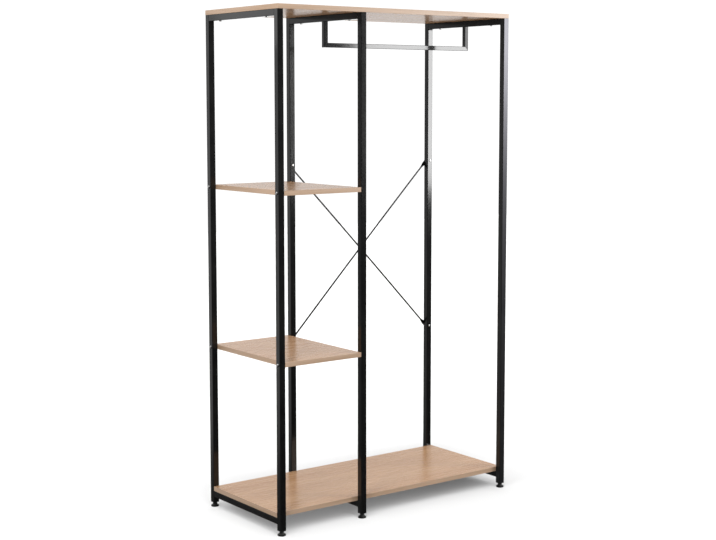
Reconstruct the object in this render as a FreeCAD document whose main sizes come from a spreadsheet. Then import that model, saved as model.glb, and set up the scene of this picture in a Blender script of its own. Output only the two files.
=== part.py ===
import FreeCAD, Part
import os
import Sketcher

# Open frame wardrobe. Three welded ladder frames of square steel tube carry a top board, a bottom board,
# two shelves in the narrow left bay and a hanging rail in the wide right bay, which two crossed rods brace.
# Millimetres, +Z up, the front faces -Y, and the origin lies on the floor in the middle of the footprint.

SIZES = {
    # the whole wardrobe and its two bays
    "overall_width": 1000,
    "overall_depth": 445,
    "overall_height": 1740,
    "shelf_bay": 312,
    # square tube of the three frames
    "post_side": 22,
    "post_wall": 1.5,
    "post_outer_round": 1.6,
    "post_inner_round": 0.6,
    # boards, their edge strips and where they lie
    "board_thickness": 16,
    "edging_thickness": 1,
    "edging_round": 0.6,
    "bottom_board_height": 75,
    "bottom_board_gap": 1,
    "upper_shelf_height": 1142,
    "lower_shelf_height": 580,
    "shelf_inset": 1,
    # hanging rail
    "rail_drop_length": 88,
    "rail_side": 16,
    "rail_wall": 1.2,
    "rail_outer_round": 1.4,
    "rail_inner_round": 0.6,
    "rail_plug_length": 16,
    "rail_bolt_diameter": 6,
    "rail_bolt_bite": 12,
    "rail_bolt_head_diameter": 10,
    "rail_bolt_head_height": 4,
    "rail_bolt_access_gap": 1.5,
    # brace rods, pressed flat and drilled at their ends
    "brace_above_shelf_bolt": 66,
    "brace_below_shelf_bolt": 19,
    "brace_rod_diameter": 6,
    "brace_crossing_gap": 0.4,
    "brace_tab_thickness": 2.2,
    "brace_tab_width": 13,
    "brace_tab_margin": 1,
    "brace_neck_length": 14,
    "brace_bolt_diameter": 5,
    "brace_bolt_head_diameter": 9.5,
    "brace_bolt_head_height": 2.6,
    "brace_bolt_tail": 2,
    "brace_nut_width": 8,
    "brace_nut_height": 4,
    # shelf bolts and the threaded inserts that they draw up
    "shelf_bolt_diameter": 6,
    "shelf_bolt_grip": 13,
    "shelf_bolt_head_diameter": 10.5,
    "shelf_bolt_head_height": 3,
    "shelf_insert_diameter": 9,
    "shelf_insert_length": 15,
    # wood screws up through the crossbars
    "board_screw_diameter": 4,
    "board_screw_bite": 11,
    "board_screw_inset": 58,
    "board_screw_head_diameter": 9,
    "board_screw_head_height": 3,
    "board_screw_point": 4,
    # levelling feet and the threaded plugs in the post ends
    "foot_height": 16,
    "foot_base_diameter": 28,
    "foot_base_height": 5.5,
    "foot_base_bevel": 1.2,
    "foot_neck_diameter": 15,
    "foot_flare_height": 5,
    "foot_stud_diameter": 8,
    "foot_stud_seat": 9,
    "foot_stud_reach": 32,
    "foot_stud_bevel": 1,
    "plug_flange": 2,
    "plug_length": 30,
    # shared by the fasteners: drive sockets, rim bevels and clearances
    "socket_width": 4,
    "socket_depth": 1.6,
    "head_bevel": 0.7,
    "bolt_hole_gap": 0.25,
    "thread_gap": 0.05,
    "plug_gap": 0.1,
}

# The brace's flat neck is a little slimmer than its tab, and its bow is drawn through these stations.
NECK_SHARE = 0.94
BOW_SHARES = (0, 0.125, 0.25, 0.375, 0.5, 0.625, 0.75, 0.875, 1)

nodes = []
doc = FreeCAD.newDocument("OpenFrameWardrobe")
sheet = doc.addObject("Spreadsheet::Sheet", "Sizes")
for row, (alias, value) in enumerate(SIZES.items(), start=1):
    sheet.set(f"A{row}", alias)
    sheet.set(f"B{row}", str(value))
    sheet.setAlias(f"B{row}", alias)
doc.recompute()

# Faces and levels that several pieces share, written in the sheet's sizes.
LEFT = "(-Sizes.overall_width / 2)"
RIGHT = "(Sizes.overall_width / 2)"
MIDDLE = f"({LEFT} + Sizes.post_side + Sizes.shelf_bay)"
# At the front the feet stand furthest out, and at the rear the ends of the brace bolts.
FOOT_REACH = "((Sizes.foot_base_diameter - Sizes.post_side) / 2)"
REAR_REACH = "(Sizes.brace_tab_thickness + Sizes.brace_nut_height + Sizes.brace_bolt_tail)"
FRONT = f"(({FOOT_REACH} - {REAR_REACH} - Sizes.overall_depth) / 2)"
REAR = f"({FRONT} + Sizes.overall_depth)"
HALF_POST = "(Sizes.post_side / 2)"
POST_END = "(Sizes.foot_height + Sizes.plug_flange)"
FRAME_TOP = "(Sizes.overall_height - Sizes.board_thickness)"
TOP_BAR_UNDERSIDE = f"({FRAME_TOP} - Sizes.post_side)"
BOTTOM_BOARD_UNDERSIDE = "(Sizes.bottom_board_height - Sizes.board_thickness)"
BOTTOM_BAR_UNDERSIDE = f"({BOTTOM_BOARD_UNDERSIDE} - Sizes.post_side)"
CROSSBAR_LENGTH = "(Sizes.overall_depth - 2 * Sizes.post_side)"
UPPER_BOLT_LEVEL = "(Sizes.upper_shelf_height - Sizes.board_thickness / 2)"
LOWER_BOLT_LEVEL = "(Sizes.lower_shelf_height - Sizes.board_thickness / 2)"
UPPER_BRACE_LEVEL = f"({UPPER_BOLT_LEVEL} + Sizes.brace_above_shelf_bolt)"
LOWER_BRACE_LEVEL = f"({LOWER_BOLT_LEVEL} - Sizes.brace_below_shelf_bolt)"

# Outer left face of each frame, and the front face of each row of posts.
FRAMES = {"left": LEFT, "middle": MIDDLE, "right": f"({RIGHT} - Sizes.post_side)"}
POST_ROWS = {"front": FRONT, "rear": f"({REAR} - Sizes.post_side)"}

VERTICAL = FreeCAD.Vector(0, 0, 1)
ACROSS = FreeCAD.Vector(1, 0, 0)
INWARD = FreeCAD.Vector(0, 1, 0)
UNTURNED = FreeCAD.Rotation()
FACING_LEFT = FreeCAD.Rotation(INWARD, -90)
FACING_RIGHT = FreeCAD.Rotation(INWARD, 90)
FACING_FRONT = FreeCAD.Rotation(ACROSS, 90)
FACING_REAR = FreeCAD.Rotation(ACROSS, -90)


def number(expression):
    """The present value of an expression in the sheet's sizes."""
    return float(sheet.evalExpression(expression))


def place(piece, x, y, z, rotation=UNTURNED):
    """Put a piece at a place given in the sheet's sizes."""
    piece.Placement = FreeCAD.Placement(FreeCAD.Vector(), rotation)
    piece.setExpression("Placement.Base.x", x)
    piece.setExpression("Placement.Base.y", y)
    piece.setExpression("Placement.Base.z", z)


def new_body(label):
    return doc.addObject("PartDesign::Body", label)


def new_sketch(body, role, label, offset="0"):
    """A sketch on one of the body's own origin planes, moved along the plane's normal."""
    sketch = body.newObject("Sketcher::SketchObject", f"{body.Name}_{label}")
    plane = next(feature for feature in body.Origin.OriginFeatures if feature.Role == role)
    sketch.AttachmentSupport = [(plane, "")]
    sketch.MapMode = "FlatFace"
    sketch.setExpression("AttachmentOffset.Base.z", offset)
    return sketch


def pin_point(sketch, geometry, point, x, y):
    """Tie a point of the sketch to a place given in the sheet's sizes."""
    for kind, place_text in (("DistanceX", x), ("DistanceY", y)):
        constraint = Sketcher.Constraint(kind, -1, 1, geometry, point, number(place_text))
        index = sketch.addConstraint(constraint)
        sketch.setExpression(f"Constraints[{index}]", place_text)


def draw_polygon(sketch, corners):
    """A closed outline of straight lines, each corner given as two expressions."""
    points = [FreeCAD.Vector(number(x), number(y), 0) for x, y in corners]
    first = sketch.GeometryCount
    count = len(points)
    for index in range(count):
        sketch.addGeometry(Part.LineSegment(points[index], points[(index + 1) % count]))
    for index in range(count):
        following = first + (index + 1) % count
        sketch.addConstraint(Sketcher.Constraint("Coincident", first + index, 2, following, 1))
    for index, (x, y) in enumerate(corners):
        pin_point(sketch, first + index, 1, x, y)


def draw_rectangle(sketch, low_x, low_y, high_x, high_y):
    draw_polygon(sketch, [(low_x, low_y), (high_x, low_y), (high_x, high_y), (low_x, high_y)])


def draw_square(sketch, side):
    draw_rectangle(sketch, f"-({side}) / 2", f"-({side}) / 2", f"({side}) / 2", f"({side}) / 2")


def draw_hexagon(sketch, width):
    """A hexagon about the origin, given its width across the flats."""
    point, shoulder, flat = f"{width} / sqrt(3)", f"{width} / sqrt(12)", f"{width} / 2"
    draw_polygon(sketch, [
        (point, "0"), (shoulder, flat), (f"-{shoulder}", flat),
        (f"-{point}", "0"), (f"-{shoulder}", f"-{flat}"), (shoulder, f"-{flat}"),
    ])


def draw_circles(sketch, centres, diameter):
    for x, y in centres:
        centre = FreeCAD.Vector(number(x), number(y), 0)
        radius = number(f"({diameter}) / 2")
        geometry = sketch.addGeometry(Part.Circle(centre, VERTICAL, radius))
        pin_point(sketch, geometry, 3, x, y)
        index = sketch.addConstraint(Sketcher.Constraint("Diameter", geometry, 2 * radius))
        sketch.setExpression(f"Constraints[{index}]", diameter)


def pad(body, sketch, length, reverse=False):
    feature = body.newObject("PartDesign::Pad", f"{sketch.Name}_pad")
    feature.Profile = sketch
    feature.setExpression("Length", length)
    feature.Reversed = reverse
    doc.recompute()
    return feature


def pocket(body, sketch, depth=None, both_ways=False, reverse=False):
    """Cut a sketch out of its body, to a depth or right through, and make sure that it cut something."""
    before = body.Shape.Volume
    feature = body.newObject("PartDesign::Pocket", f"{sketch.Name}_pocket")
    feature.Profile = sketch
    feature.Reversed = reverse
    feature.SideType = "Symmetric" if both_ways else "One side"
    if depth is None:
        feature.Type = "ThroughAll"
    else:
        feature.Type = "Length"
        feature.setExpression("Length", depth)
    doc.recompute()
    if body.Shape.Volume >= before:
        raise RuntimeError(f"{feature.Name} cut nothing")
    return feature


def revolve(body, corners):
    """Turn an outline of (radius, height) corners about the body's upright axis."""
    sketch = new_sketch(body, "XZ_Plane", "profile")
    draw_polygon(sketch, corners)
    feature = body.newObject("PartDesign::Revolution", f"{sketch.Name}_turned")
    feature.Profile = sketch
    feature.ReferenceAxis = (sketch, ["V_Axis"])
    feature.Angle = 360
    doc.recompute()


def round_edges(body, feature, chosen, radius):
    """Round the edges of a feature that a test picks."""
    names = [f"Edge{index}" for index, edge in enumerate(feature.Shape.Edges, start=1) if chosen(edge)]
    fillet = body.newObject("PartDesign::Fillet", f"{feature.Name}_round")
    fillet.Base = (feature, names)
    fillet.setExpression("Radius", radius)
    doc.recompute()
    return fillet


def runs_along(edge, axis):
    """True for a straight edge that lies along an axis."""
    if len(edge.Vertexes) != 2:
        return False
    span = edge.Vertexes[1].Point - edge.Vertexes[0].Point
    return abs(abs(span.dot(axis)) - span.Length) < Part.Precision.confusion()


def axis_distance(edge, axis):
    """How far an edge along an axis through the origin lies from that axis."""
    point = edge.CenterOfMass
    return (point - axis * point.dot(axis)).Length


def copies(model, places):
    """Separate copies of one model, each at its own place and turn."""
    links = []
    for x, y, z, rotation in places:
        link = doc.addObject("App::Link", f"{model.Name}_copy")
        link.LinkedObject = model
        place(link, x, y, z, rotation)
        links.append(link)
    return links


def group(label, pieces):
    """One node for several separate pieces of a kind."""
    whole = doc.addObject("Part::Compound", label)
    whole.Links = pieces
    nodes.append(whole)


def square_tube(label, role, axis, stock, length):
    """A length of square tube about the body's origin, with its corners rounded inside and out."""
    body = new_body(label)
    section = new_sketch(body, role, "section")
    side, wall = f"Sizes.{stock}_side", f"Sizes.{stock}_wall"
    draw_square(section, side)
    draw_square(section, f"{side} - 2 * {wall}")
    drawn = pad(body, section, length, reverse=(role == "XZ_Plane"))
    halfway = number(f"({side} - {wall}) / sqrt(2)")

    def outer(edge):
        return runs_along(edge, axis) and axis_distance(edge, axis) > halfway

    def inner(edge):
        return runs_along(edge, axis) and axis_distance(edge, axis) < halfway

    rounded = round_edges(body, drawn, outer, f"Sizes.{stock}_outer_round")
    round_edges(body, rounded, inner, f"Sizes.{stock}_inner_round")
    return body


def drill(body, role, label, centres, diameter):
    """Holes straight through both walls of a tube."""
    sketch = new_sketch(body, role, label)
    draw_circles(sketch, centres, diameter)
    pocket(body, sketch, both_ways=True)


def hole(fastener):
    """Diameter of the clear hole for a fastener."""
    return f"(Sizes.{fastener}_diameter + 2 * Sizes.bolt_hole_gap)"


def thread(fastener):
    """Diameter of the threaded bore that takes a fastener."""
    return f"(Sizes.{fastener}_diameter + 2 * Sizes.thread_gap)"


def bolt(label, fastener, length):
    """A bolt with a flat bevelled head above its origin, a hexagon socket and a plain shank below."""
    body = new_body(label)
    shank = f"Sizes.{fastener}_diameter / 2"
    rim = f"Sizes.{fastener}_head_diameter / 2"
    top = f"Sizes.{fastener}_head_height"
    revolve(body, [
        ("0", f"-({length})"), (shank, f"-({length})"), (shank, "0"), (rim, "0"),
        (rim, f"{top} - Sizes.head_bevel"), (f"{rim} - Sizes.head_bevel", top), ("0", top),
    ])
    socket = new_sketch(body, "XY_Plane", "socket", top)
    draw_hexagon(socket, "Sizes.socket_width")
    pocket(body, socket, "Sizes.socket_depth")
    return body


# Frames: each is two posts and two crossbars, welded end to face. The posts are drilled across for the
# shelf bolts and from front to rear for the brace bolts, the crossbars upwards for the board screws.
POST_LENGTH = f"{FRAME_TOP} - {POST_END}"
SHELF_BOLT_HOLES = [("0", f"{level} - {POST_END}") for level in (UPPER_BOLT_LEVEL, LOWER_BOLT_LEVEL)]
BRACE_BOLT_HOLES = [("0", f"{level} - {POST_END}") for level in (UPPER_BRACE_LEVEL, LOWER_BRACE_LEVEL)]
SCREW_STATIONS = ["Sizes.board_screw_inset", f"({CROSSBAR_LENGTH} - Sizes.board_screw_inset)"]
RAIL_STATION = f"({CROSSBAR_LENGTH} / 2)"
CROSSBAR_UNDERSIDES = {"top": TOP_BAR_UNDERSIDE, "bottom": BOTTOM_BAR_UNDERSIDE}

for frame, face in FRAMES.items():
    for end, post_front in POST_ROWS.items():
        post = square_tube(f"{frame}_{end}_post", "XY_Plane", VERTICAL, "post", POST_LENGTH)
        place(post, f"{face} + {HALF_POST}", f"{post_front} + {HALF_POST}", POST_END)
        if frame != "right":
            drill(post, "YZ_Plane", "shelf_bolt_holes", SHELF_BOLT_HOLES, hole("shelf_bolt"))
        if frame != "left" and end == "rear":
            drill(post, "XZ_Plane", "brace_bolt_holes", BRACE_BOLT_HOLES, hole("brace_bolt"))
        nodes.append(post)
    for level, underside in CROSSBAR_UNDERSIDES.items():
        bar = square_tube(f"{frame}_{level}_crossbar", "XZ_Plane", INWARD, "post", CROSSBAR_LENGTH)
        place(bar, f"{face} + {HALF_POST}", f"{FRONT} + Sizes.post_side", f"{underside} + {HALF_POST}")
        drill(bar, "XY_Plane", "screw_holes", [("0", y) for y in SCREW_STATIONS], hole("board_screw"))
        if frame != "left" and level == "top":
            drill(bar, "XY_Plane", "rail_bolt_hole", [("0", RAIL_STATION)], hole("rail_bolt"))
            access = new_sketch(bar, "XY_Plane", "rail_bolt_access")
            access_diameter = "Sizes.rail_bolt_head_diameter + 2 * Sizes.rail_bolt_access_gap"
            draw_circles(access, [("0", RAIL_STATION)], access_diameter)
            pocket(bar, access, reverse=True)
        nodes.append(bar)


# Boards: a flat core with a strip glued along each edge. The strips' outer corners are rounded over.
def edge_strip(label, length):
    body = new_body(label)
    section = new_sketch(body, "YZ_Plane", "section")
    draw_rectangle(section, "-Sizes.edging_thickness", "0", "0", "Sizes.board_thickness")
    drawn = pad(body, section, length)
    middle = number("-Sizes.edging_thickness / 2")
    round_edges(body, drawn, lambda edge: runs_along(edge, ACROSS) and edge.CenterOfMass.y < middle,
                "Sizes.edging_round")
    return body


def board(label, length, depth, x, y, z):
    """A board's core and its group of four edge strips, given the whole board's low corner."""
    strip = "Sizes.edging_thickness"
    core = new_body(label)
    outline = new_sketch(core, "XY_Plane", "outline")
    draw_rectangle(outline, "0", "0", f"{length} - 2 * {strip}", f"{depth} - 2 * {strip}")
    pad(core, outline, "Sizes.board_thickness")
    place(core, f"{x} + {strip}", f"{y} + {strip}", z)
    long_strip = edge_strip(f"{label}_long_strip", length)
    end_strip = edge_strip(f"{label}_end_strip", f"{depth} - 2 * {strip}")
    far_x, far_y = f"{x} + {length} - {strip}", f"{y} + {depth} - {strip}"
    strips = copies(long_strip, [
        (x, f"{y} + {strip}", z, UNTURNED),
        (f"{x} + {length}", far_y, z, FreeCAD.Rotation(VERTICAL, 180)),
    ])
    strips += copies(end_strip, [
        (f"{x} + {strip}", far_y, z, FreeCAD.Rotation(VERTICAL, -90)),
        (far_x, f"{y} + {strip}", z, FreeCAD.Rotation(VERTICAL, 90)),
    ])
    nodes.append(core)
    group(f"{label}_edging", strips)
    return core, end_strip


def pilot_holes(core, y):
    """Blind holes in a board's underside over the crossbars, y being the board's front edge."""
    sketch = new_sketch(core, "XY_Plane", "pilot_holes")
    first_x = f"{LEFT} + Sizes.edging_thickness"
    first_y = f"{y} + Sizes.edging_thickness"
    centres = []
    for face in FRAMES.values():
        for station in SCREW_STATIONS:
            centres.append((
                f"{face} + {HALF_POST} - ({first_x})",
                f"{FRONT} + Sizes.post_side + {station} - ({first_y})",
            ))
    draw_circles(sketch, centres, thread("board_screw"))
    pocket(core, sketch, "Sizes.board_screw_bite", reverse=True)


def insert_holes(core, end_strip, depth):
    """Blind holes for the threaded inserts in both ends of a shelf, through its end strips."""
    strip = "Sizes.edging_thickness"
    bore = "Sizes.shelf_insert_diameter + 2 * Sizes.thread_gap"
    strip_length = f"({depth} - 2 * {strip})"
    first = f"({HALF_POST} - Sizes.shelf_inset - {strip})"
    centres = [(first, "Sizes.board_thickness / 2"), (f"{strip_length} - {first}", "Sizes.board_thickness / 2")]
    strip_holes = new_sketch(end_strip, "XZ_Plane", "insert_holes")
    draw_circles(strip_holes, centres, bore)
    pocket(end_strip, strip_holes, both_ways=True)
    bite = f"Sizes.shelf_insert_length - {strip}"
    near_end = new_sketch(core, "YZ_Plane", "left_insert_holes")
    draw_circles(near_end, centres, bore)
    pocket(core, near_end, bite, reverse=True)
    far_end = new_sketch(core, "YZ_Plane", "right_insert_holes", f"Sizes.shelf_bay - 2 * {strip}")
    draw_circles(far_end, centres, bore)
    pocket(core, far_end, bite)


top_core, _ = board("top_board", "Sizes.overall_width", "Sizes.overall_depth", LEFT, FRONT, FRAME_TOP)
pilot_holes(top_core, FRONT)

BOTTOM_BOARD_DEPTH = f"({CROSSBAR_LENGTH} - 2 * Sizes.bottom_board_gap)"
BOTTOM_BOARD_FRONT = f"({FRONT} + Sizes.post_side + Sizes.bottom_board_gap)"
bottom_core, _ = board("bottom_board", "Sizes.overall_width", BOTTOM_BOARD_DEPTH, LEFT, BOTTOM_BOARD_FRONT,
                       BOTTOM_BOARD_UNDERSIDE)
pilot_holes(bottom_core, BOTTOM_BOARD_FRONT)

SHELF_DEPTH = "(Sizes.overall_depth - 2 * Sizes.shelf_inset)"
SHELF_LEVELS = {"upper_shelf": "Sizes.upper_shelf_height", "lower_shelf": "Sizes.lower_shelf_height"}
for label, height in SHELF_LEVELS.items():
    shelf_core, shelf_end_strip = board(label, "Sizes.shelf_bay", SHELF_DEPTH, f"{LEFT} + Sizes.post_side",
                                        f"{FRONT} + Sizes.shelf_inset", f"{height} - Sizes.board_thickness")
    insert_holes(shelf_core, shelf_end_strip, SHELF_DEPTH)


# Hanging rail: two drops and a bar of smaller tube, mitred where they meet and hung from the middle and
# right top crossbars halfway back. A threaded plug closes the top of each drop.
RAIL_MIDDLE_Y = f"({FRONT} + Sizes.overall_depth / 2)"
RAIL_UNDERSIDE = f"({TOP_BAR_UNDERSIDE} - Sizes.rail_drop_length)"
RAIL_CENTRES = {side: f"({FRAMES[side]} + {HALF_POST})" for side in ("middle", "right")}
RAIL_LENGTH = f"({RAIL_CENTRES['right']} - {RAIL_CENTRES['middle']} + Sizes.rail_side)"
HALF_RAIL = "(Sizes.rail_side / 2)"


def mitre(body, label, corners):
    """Take a corner off a tube, seen from the front."""
    sketch = new_sketch(body, "XZ_Plane", label)
    draw_polygon(sketch, corners)
    pocket(body, sketch, both_ways=True)


RAIL_DROPS = (("rail_left_drop", "middle", HALF_RAIL), ("rail_right_drop", "right", f"-{HALF_RAIL}"))
for label, side, inner in RAIL_DROPS:
    drop = square_tube(label, "XY_Plane", VERTICAL, "rail", "Sizes.rail_drop_length")
    place(drop, RAIL_CENTRES[side], RAIL_MIDDLE_Y, RAIL_UNDERSIDE)
    mitre(drop, "mitre", [(f"-({inner})", "0"), (inner, "0"), (inner, "Sizes.rail_side")])
    nodes.append(drop)

rail_bar = square_tube("rail_bar", "YZ_Plane", ACROSS, "rail", RAIL_LENGTH)
place(rail_bar, f"{RAIL_CENTRES['middle']} - {HALF_RAIL}", RAIL_MIDDLE_Y, f"{RAIL_UNDERSIDE} + {HALF_RAIL}")
mitre(rail_bar, "left_mitre", [("0", f"-{HALF_RAIL}"), ("Sizes.rail_side", HALF_RAIL), ("0", HALF_RAIL)])
mitre(rail_bar, "right_mitre", [
    (RAIL_LENGTH, f"-{HALF_RAIL}"), (RAIL_LENGTH, HALF_RAIL), (f"{RAIL_LENGTH} - Sizes.rail_side", HALF_RAIL),
])
nodes.append(rail_bar)


def square_plug(label, stock, length):
    """A block that fills the end of a tube, hanging below its origin."""
    body = new_body(label)
    section = new_sketch(body, "XY_Plane", "section")
    draw_square(section, f"Sizes.{stock}_side - 2 * Sizes.{stock}_wall - 2 * Sizes.plug_gap")
    drawn = pad(body, section, length, reverse=True)
    round_edges(body, drawn, lambda edge: runs_along(edge, VERTICAL), f"Sizes.{stock}_inner_round")
    return body


rail_plug = square_plug("rail_plug", "rail", "Sizes.rail_plug_length")
drill(rail_plug, "XY_Plane", "thread", [("0", "0")], thread("rail_bolt"))
group("rail_plugs", copies(rail_plug, [
    (x, RAIL_MIDDLE_Y, TOP_BAR_UNDERSIDE, UNTURNED) for x in RAIL_CENTRES.values()
]))

rail_bolt = bolt("rail_bolt", "rail_bolt", "Sizes.post_wall + Sizes.rail_bolt_bite")
group("rail_bolts", copies(rail_bolt, [
    (x, RAIL_MIDDLE_Y, f"{TOP_BAR_UNDERSIDE} + Sizes.post_wall", UNTURNED) for x in RAIL_CENTRES.values()
]))

# Braces: round rods pressed flat and drilled at both ends, bolted to the backs of the middle and right
# rear posts. Each bows a little at the middle, one forwards and one back, so that they pass each other.
BRACE_RUN = f"({RAIL_CENTRES['right']} - {RAIL_CENTRES['middle']})"
BRACE_RISE = f"({UPPER_BRACE_LEVEL} - {LOWER_BRACE_LEVEL})"
BRACE_LENGTH = f"(sqrt(({BRACE_RUN}) ^ 2 + ({BRACE_RISE}) ^ 2))"
BRACE_PLANE = f"({REAR} + Sizes.brace_tab_thickness / 2)"
BRACE_BOW = "((Sizes.brace_rod_diameter + Sizes.brace_crossing_gap) / 2)"
# The flat tab reaches clear of the post's side before the rod swells to its round section.
TAB_LENGTH = (f"(({HALF_POST} * {BRACE_LENGTH} + Sizes.brace_tab_width / 2 * {BRACE_RISE}) / {BRACE_RUN}"
              " + Sizes.brace_tab_margin)")
ROD_START = f"({TAB_LENGTH} + Sizes.brace_neck_length)"


def brace(label, start_level, turn, bow):
    sections = []

    def flat_section(name, x):
        section = doc.addObject("Part::Ellipse", f"{label}_{name}")
        section.setExpression("MajorRadius", f"Sizes.brace_tab_width / 2 * {NECK_SHARE}")
        section.setExpression("MinorRadius", f"Sizes.brace_tab_thickness / 2 * {NECK_SHARE}")
        place(section, x, "0", "0", FACING_RIGHT)
        sections.append(section)

    def round_section(name, x, y):
        section = doc.addObject("Part::Circle", f"{label}_{name}")
        section.setExpression("Radius", "Sizes.brace_rod_diameter / 2")
        place(section, x, y, "0", FACING_RIGHT)
        sections.append(section)

    flat_section("near_neck", TAB_LENGTH)
    for index, share in enumerate(BOW_SHARES):
        along = f"{ROD_START} + ({BRACE_LENGTH} - 2 * {ROD_START}) * {share}"
        round_section(f"station_{index}", along, f"{bow} * {4 * share * (1 - share)}")
    flat_section("far_neck", f"{BRACE_LENGTH} - {TAB_LENGTH}")
    rod = doc.addObject("Part::Loft", f"{label}_rod")
    rod.Sections = sections
    rod.Solid = True
    rod.Ruled = True

    half_tab, half_width = "Sizes.brace_tab_thickness / 2", "Sizes.brace_tab_width / 2"
    solids, holes = [rod], []
    for name, x, plate_x in (("near", "0", "0"), ("far", BRACE_LENGTH, f"{BRACE_LENGTH} - {TAB_LENGTH}")):
        plate = doc.addObject("Part::Box", f"{label}_{name}_plate")
        plate.setExpression("Length", TAB_LENGTH)
        plate.setExpression("Width", "Sizes.brace_tab_thickness")
        plate.setExpression("Height", "Sizes.brace_tab_width")
        place(plate, plate_x, f"-{half_tab}", f"-{half_width}")
        tip = doc.addObject("Part::Cylinder", f"{label}_{name}_tip")
        tip.setExpression("Radius", half_width)
        bore = doc.addObject("Part::Cylinder", f"{label}_{name}_hole")
        bore.setExpression("Radius", f"{hole('brace_bolt')} / 2")
        for cylinder in (tip, bore):
            cylinder.setExpression("Height", "Sizes.brace_tab_thickness")
            place(cylinder, x, f"-{half_tab}", "0", FACING_REAR)
        solids += [plate, tip]
        holes.append(bore)
    whole = doc.addObject("Part::MultiFuse", f"{label}_whole")
    whole.Shapes = solids
    drilled = doc.addObject("Part::MultiFuse", f"{label}_holes")
    drilled.Shapes = holes
    piece = doc.addObject("Part::Cut", label)
    piece.Base = whole
    piece.Tool = drilled
    place(piece, RAIL_CENTRES["middle"], BRACE_PLANE, start_level, FACING_RIGHT)
    piece.setExpression("Placement.Rotation.Angle", turn)
    doc.recompute()
    nodes.append(piece)


BRACE_TURN = f"atan2({BRACE_RISE}; {BRACE_RUN})"
brace("brace_falling", UPPER_BRACE_LEVEL, BRACE_TURN, f"-{BRACE_BOW}")
brace("brace_rising", LOWER_BRACE_LEVEL, f"-{BRACE_TURN}", BRACE_BOW)

BRACE_ENDS = [(x, level) for x in RAIL_CENTRES.values() for level in (UPPER_BRACE_LEVEL, LOWER_BRACE_LEVEL)]
brace_bolt = bolt("brace_bolt", "brace_bolt", f"Sizes.post_side + {REAR_REACH}")
group("brace_bolts", copies(brace_bolt, [
    (x, f"{REAR} - Sizes.post_side", level, FACING_FRONT) for x, level in BRACE_ENDS
]))

brace_nut = new_body("brace_nut")
nut_outline = new_sketch(brace_nut, "XY_Plane", "outline")
draw_hexagon(nut_outline, "Sizes.brace_nut_width")
pad(brace_nut, nut_outline, "Sizes.brace_nut_height")
drill(brace_nut, "XY_Plane", "thread", [("0", "0")], thread("brace_bolt"))
group("brace_nuts", copies(brace_nut, [
    (x, f"{REAR} + Sizes.brace_tab_thickness", level, FACING_REAR) for x, level in BRACE_ENDS
]))

# Shelf bolts pass through the posts into threaded inserts in the shelves' ends.
POST_CENTRE_ROWS = [f"{post_front} + {HALF_POST}" for post_front in POST_ROWS.values()]
SHELF_CORNERS = [(y, z) for y in POST_CENTRE_ROWS for z in (UPPER_BOLT_LEVEL, LOWER_BOLT_LEVEL)]
SHELF_LEFT_END = f"{LEFT} + Sizes.post_side"

shelf_bolt = bolt("shelf_bolt", "shelf_bolt", "Sizes.post_side + Sizes.shelf_bolt_grip")
left_bolts = [(LEFT, y, z, FACING_LEFT) for y, z in SHELF_CORNERS]
right_bolts = [(f"{MIDDLE} + Sizes.post_side", y, z, FACING_RIGHT) for y, z in SHELF_CORNERS]
group("shelf_bolts", copies(shelf_bolt, left_bolts + right_bolts))

shelf_insert = new_body("shelf_insert")
insert_bore = f"{thread('shelf_bolt')} / 2"
insert_rim, insert_end = "Sizes.shelf_insert_diameter / 2", "Sizes.shelf_insert_length"
revolve(shelf_insert, [
    (insert_bore, "0"), (insert_rim, "0"), (insert_rim, insert_end), (insert_bore, insert_end),
])
left_inserts = [(SHELF_LEFT_END, y, z, FACING_RIGHT) for y, z in SHELF_CORNERS]
right_inserts = [(MIDDLE, y, z, FACING_LEFT) for y, z in SHELF_CORNERS]
group("shelf_inserts", copies(shelf_insert, left_inserts + right_inserts))

# Board screws: pan heads under the crossbars, points in the boards.
board_screw = new_body("board_screw")
screw_shank = "Sizes.board_screw_diameter / 2"
screw_rim = "Sizes.board_screw_head_diameter / 2"
screw_length = "(Sizes.post_side + Sizes.board_screw_bite)"
revolve(board_screw, [
    ("0", "-Sizes.board_screw_head_height"), (screw_rim, "-Sizes.board_screw_head_height"),
    (screw_rim, "0"), (screw_shank, "0"), (screw_shank, f"{screw_length} - Sizes.board_screw_point"),
    ("0", screw_length),
])
for level, underside in CROSSBAR_UNDERSIDES.items():
    group(f"{level}_board_screws", copies(board_screw, [
        (f"{face} + {HALF_POST}", f"{FRONT} + Sizes.post_side + {station}", underside, UNTURNED)
        for face in FRAMES.values() for station in SCREW_STATIONS
    ]))

# Levelling feet: a threaded plug with a flange closes each post's lower end, and a moulded foot on a
# stud screws into it. Here the feet are screwed right in, with their necks against the plugs.
post_plug = square_plug("post_plug", "post", "Sizes.plug_length")
plug_flange = new_sketch(post_plug, "XY_Plane", "flange", "-Sizes.plug_length")
draw_square(plug_flange, "Sizes.post_side")
flange_pad = pad(post_plug, plug_flange, "Sizes.plug_flange", reverse=True)
flange_level = number("-Sizes.plug_length")
round_edges(post_plug, flange_pad,
            lambda edge: runs_along(edge, VERTICAL) and edge.CenterOfMass.z < flange_level,
            "Sizes.post_outer_round")
drill(post_plug, "XY_Plane", "thread", [("0", "0")], thread("foot_stud"))

POST_CENTRES = {
    f"{frame}_{end}": (f"{face} + {HALF_POST}", f"{post_front} + {HALF_POST}")
    for frame, face in FRAMES.items() for end, post_front in POST_ROWS.items()
}
group("post_plugs", copies(post_plug, [
    (x, y, f"{POST_END} + Sizes.plug_length", UNTURNED) for x, y in POST_CENTRES.values()
]))


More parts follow.
